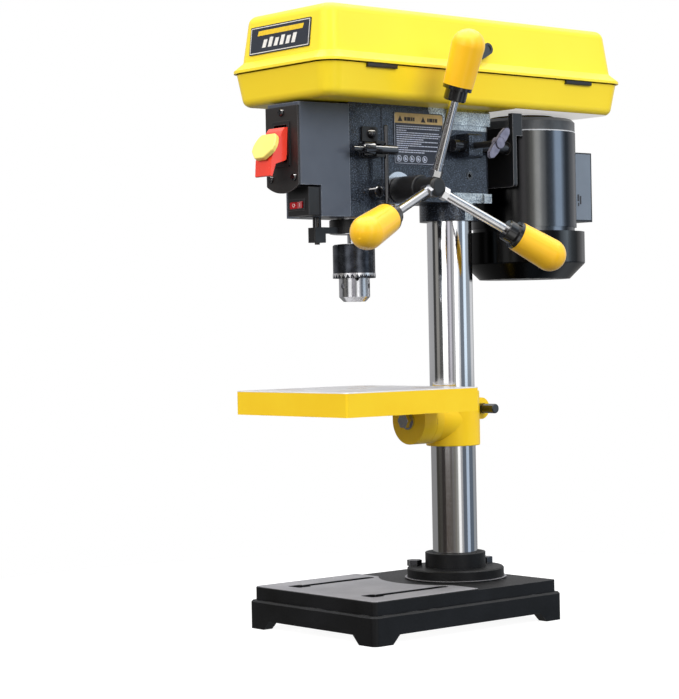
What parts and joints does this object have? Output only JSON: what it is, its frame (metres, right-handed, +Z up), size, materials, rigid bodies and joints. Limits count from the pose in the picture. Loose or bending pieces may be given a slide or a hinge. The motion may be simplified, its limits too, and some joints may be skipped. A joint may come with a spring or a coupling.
{
  "type": "bench drill press",
  "caption": "Small belt-driven bench drill press with a tilting table, rack feed and keyed chuck.",
  "frame": {"origin": "centre of the base's footprint, on the plane its feet stand on", "axes": "+Z up; -Y towards the operator, where the chuck and the switch are; +X towards the feed handles"},
  "size_m": [0.2279, 0.4262, 0.58],
  "materials": {
    "cast_black": "satin",
    "steel": "satin",
    "dark_steel": "satin",
    "yellow_paint": "satin",
    "head_paint": "gloss",
    "cover_paint": "gloss",
    "motor_paint": "gloss",
    "black_plastic": "satin",
    "red_plastic": "gloss",
    "yellow_plastic": "gloss",
    "zinc": "gloss",
    "aluminium": "satin",
    "label": "satin",
    "belt_rubber": "matte"
  },
  "bodies": {
    "frame": {"base": "cast_black", "column_flange": "cast_black", "column_flange_bolts": "dark_steel", "column": "steel", "head_casting": "head_paint", "head_set_screws": "dark_steel", "quill_guide_screw": "dark_steel", "key_holder": "black_plastic", "key_holder_screw": "dark_steel", "warning_plate": "label", "front_cover": "cover_paint", "switch_plate": "black_plastic", "switch_plate_screws": "dark_steel", "switch_housing": "black_plastic", "laser_switch_box": "black_plastic", "feed_bush": "aluminium", "spring_cap": "dark_steel", "belt_tray": "yellow_paint", "lid_bumpers": "black_plastic", "tray_hinge_leaves": "dark_steel", "v_belt": "belt_rubber"},
    "bracket": {"table_bracket": "yellow_paint"},
    "lock_handle": {"table_lock_handle": "black_plastic"},
    "tilt_bolt_body": {"tilt_bolt": "steel"},
    "table_body": {"table": "yellow_paint"},
    "feed": {"pinion_shaft": "steel", "feed_hub": "black_plastic", "feed_rods": "zinc", "grip_collars": "black_plastic", "grips": "yellow_plastic"},
    "quill_body": {"quill": "steel", "quill_bearings": "steel", "depth_collar": "black_plastic", "depth_rod": "steel"},
    "stop_nuts": {"depth_nuts": "zinc"},
    "spindle_body": {"spindle": "steel", "chuck_body": "steel"},
    "sleeve": {"chuck_sleeve": "dark_steel"},
    "jaw_1": {"chuck_jaw_1": "steel"},
    "jaw_2": {"chuck_jaw_2": "steel"},
    "jaw_3": {"chuck_jaw_3": "steel"},
    "drive_pulley": {"spindle_pulley": "aluminium"},
    "motor": {"motor_shell": "motor_paint", "motor_end_bell": "motor_paint", "fan_cover": "motor_paint", "capacitor_box": "motor_paint", "motor_mount": "motor_paint", "slide_rods": "steel"},
    "rotor": {"motor_rotor": "steel", "motor_pulley": "aluminium"},
    "tension_bolt": {"wing_bolt": "zinc"},
    "lid": {"cover_lid": "yellow_paint", "lid_badge": "label", "lid_hinge_leaves": "dark_steel"},
    "latch": {"lid_latch": "black_plastic"},
    "paddle": {"switch_paddle": "red_plastic"},
    "key_tab": {"safety_key": "yellow_plastic"},
    "rocker": {"laser_rocker": "red_plastic"},
    "key": {"chuck_key": "steel", "key_bar": "steel"}
  },
  "joints": [
    {"name": "table_height", "type": "slide", "parent": "frame", "child": "bracket", "axis": [0, 0, -1], "range_m": [-0.055, 0.1]},
    {"name": "table_lock", "type": "hinge", "parent": "bracket", "child": "lock_handle", "pos_m": [0, 0.0965, 0.2038], "axis": [1, 0, 0], "range_deg": [-120, 60]},
    {"name": "table_tilt", "type": "hinge", "parent": "bracket", "child": "table_body", "pos_m": [0, 0.0245, 0.1952], "axis": [0, 1, 0], "range_deg": [-45, 45]},
    {"name": "tilt_bolt_turn", "type": "hinge", "parent": "bracket", "child": "tilt_bolt_body", "pos_m": [0, 0.0245, 0.1952], "axis": [0, 1, 0], "range_deg": [-180, 180]},
    {"name": "feed_turn", "type": "hinge", "parent": "frame", "child": "feed", "pos_m": [0, -0.0281, 0.4145], "axis": [1, 0, 0], "range_deg": [0, 238.7], "stiffness_Nm_per_rad": 0.1, "springref_deg": -114.59},
    {"name": "quill_feed", "type": "slide", "parent": "frame", "child": "quill_body", "axis": [0, 0, -1], "range_m": [0, 0.05]},
    {"name": "stop_nut_slide", "type": "slide", "parent": "quill_body", "child": "stop_nuts", "axis": [0, 0, 1], "range_m": [0, 0.022]},
    {"name": "spindle_spin", "type": "hinge", "parent": "quill_body", "child": "spindle_body", "pos_m": [0, -0.0582, 0.4], "axis": [0, 0, 1], "continuous": true},
    {"name": "sleeve_turn", "type": "hinge", "parent": "spindle_body", "child": "sleeve", "pos_m": [0, -0.0582, 0.35], "axis": [0, 0, 1], "range_deg": [-864, 1728]},
    {"name": "pulley_spin", "type": "hinge", "parent": "frame", "child": "drive_pulley", "pos_m": [0, -0.0582, 0.53], "axis": [0, 0, 1], "continuous": true},
    {"name": "motor_slide", "type": "slide", "parent": "frame", "child": "motor", "axis": [0, -1, 0], "range_m": [0, 0.012]},
    {"name": "motor_spin", "type": "hinge", "parent": "motor", "child": "rotor", "pos_m": [0, 0.17, 0.4], "axis": [0, 0, 1], "continuous": true},
    {"name": "tension_bolt_turn", "type": "hinge", "parent": "frame", "child": "tension_bolt", "pos_m": [0, 0.058, 0.459], "axis": [1, 0, 0], "range_deg": [-180, 180]},
    {"name": "lid_hinge", "type": "hinge", "parent": "frame", "child": "lid", "pos_m": [-0.0785, 0.048, 0.5262], "axis": [0, -1, 0], "range_deg": [0, 100]},
    {"name": "latch_turn", "type": "hinge", "parent": "lid", "child": "latch", "pos_m": [0.0655, 0.053, 0.548], "axis": [0.9923, 0, 0.1241], "range_deg": [-90, 0]},
    {"name": "paddle_swing", "type": "hinge", "parent": "frame", "child": "paddle", "pos_m": [0, -0.141, 0.47], "axis": [1, 0, 0], "range_deg": [0, 3], "stiffness_Nm_per_rad": 0.4},
    {"name": "safety_key_pull", "type": "slide", "parent": "paddle", "child": "key_tab", "axis": [0, -1, 0], "range_m": [0, 0.03]},
    {"name": "laser_rock", "type": "hinge", "parent": "frame", "child": "rocker", "pos_m": [0.0068, -0.129, 0.3996], "axis": [0, 0, 1], "range_deg": [0, 8]},
    {"name": "chuck_key_pull", "type": "slide", "parent": "frame", "child": "key", "axis": [1, 0, 0], "range_m": [0, 0.028]},
    {"name": "jaw_1_slide", "type": "slide", "parent": "spindle_body", "child": "jaw_1", "axis": [0, -0.2588, -0.9659], "range_m": [-0.0061, 0.0121]},
    {"name": "jaw_2_slide", "type": "slide", "parent": "spindle_body", "child": "jaw_2", "axis": [0.2241, 0.1294, -0.9659], "range_m": [-0.0061, 0.0121]},
    {"name": "jaw_3_slide", "type": "slide", "parent": "spindle_body", "child": "jaw_3", "axis": [-0.2241, 0.1294, -0.9659], "range_m": [-0.0061, 0.0121]}
  ],
  "couplings": [
    {"joint": "quill_feed", "follows": "feed_turn", "m_per_rad": 0.012},
    {"joint": "spindle_spin", "follows": "motor_spin", "ratio": 0.94737},
    {"joint": "pulley_spin", "follows": "motor_spin", "ratio": 0.94737},
    {"joint": "jaw_1_slide", "follows": "sleeve_turn", "m_per_rad": 0.00039789},
    {"joint": "jaw_2_slide", "follows": "sleeve_turn", "m_per_rad": 0.00039789},
    {"joint": "jaw_3_slide", "follows": "sleeve_turn", "m_per_rad": 0.00039789}
  ]
}
